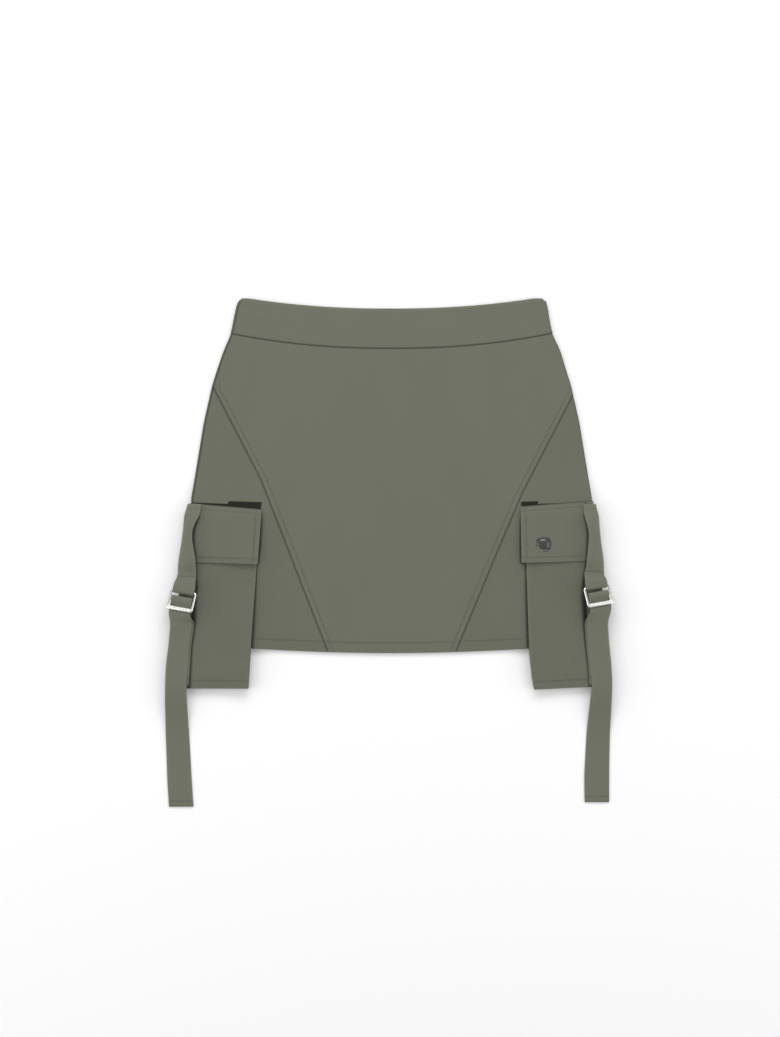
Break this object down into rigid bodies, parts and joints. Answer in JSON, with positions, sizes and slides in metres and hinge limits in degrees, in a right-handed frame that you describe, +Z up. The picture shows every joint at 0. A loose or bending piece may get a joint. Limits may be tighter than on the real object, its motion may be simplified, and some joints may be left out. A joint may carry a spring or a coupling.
{
  "type": "cargo utility skirt",
  "caption": "Short cargo skirt laid flat: curved waistband, slanting front seams, hanging side pockets with flaps, and cloth straps through metal slides with free ends",
  "frame": {"origin": "On the surface that the skirt lies on, under the middle of its box", "axes": "+X to the right as the front is looked at, +Y towards the waist, +Z up from the surface, out of the front"},
  "size_m": [0.4912, 0.5586, 0.0228],
  "materials": {
    "cloth": "matt grey-olive twill of a cotton and nylon kind, even in colour, with sewn edges in thread of the same colour",
    "strap_cloth": "the same twill sewn into a flat strap, a little lighter where it faces the light",
    "polished_steel": "bright polished wire and rail, smooth, with sharp highlights",
    "dark_metal": "dark gunmetal, turned and polished"
  },
  "bodies": {
    "root": {"waistband_front": "cloth", "waistband_back_left": "cloth", "waistband_back_right": "cloth", "front_centre": "cloth", "front_side_left": "cloth", "front_side_right": "cloth", "back_left": "cloth", "back_right": "cloth", "pocket_inner_left": "cloth", "pocket_inner_right": "cloth", "pocket_outer_left": "cloth", "pocket_outer_right": "cloth", "flap_left": "cloth", "flap_right": "cloth", "upper_strap_left": "strap_cloth", "upper_strap_right": "strap_cloth", "lower_strap_left": "strap_cloth", "lower_strap_right": "strap_cloth", "slide_left": "polished_steel", "slide_right": "polished_steel", "flap_stud": "dark_metal"}
  },
  "joints": []
}
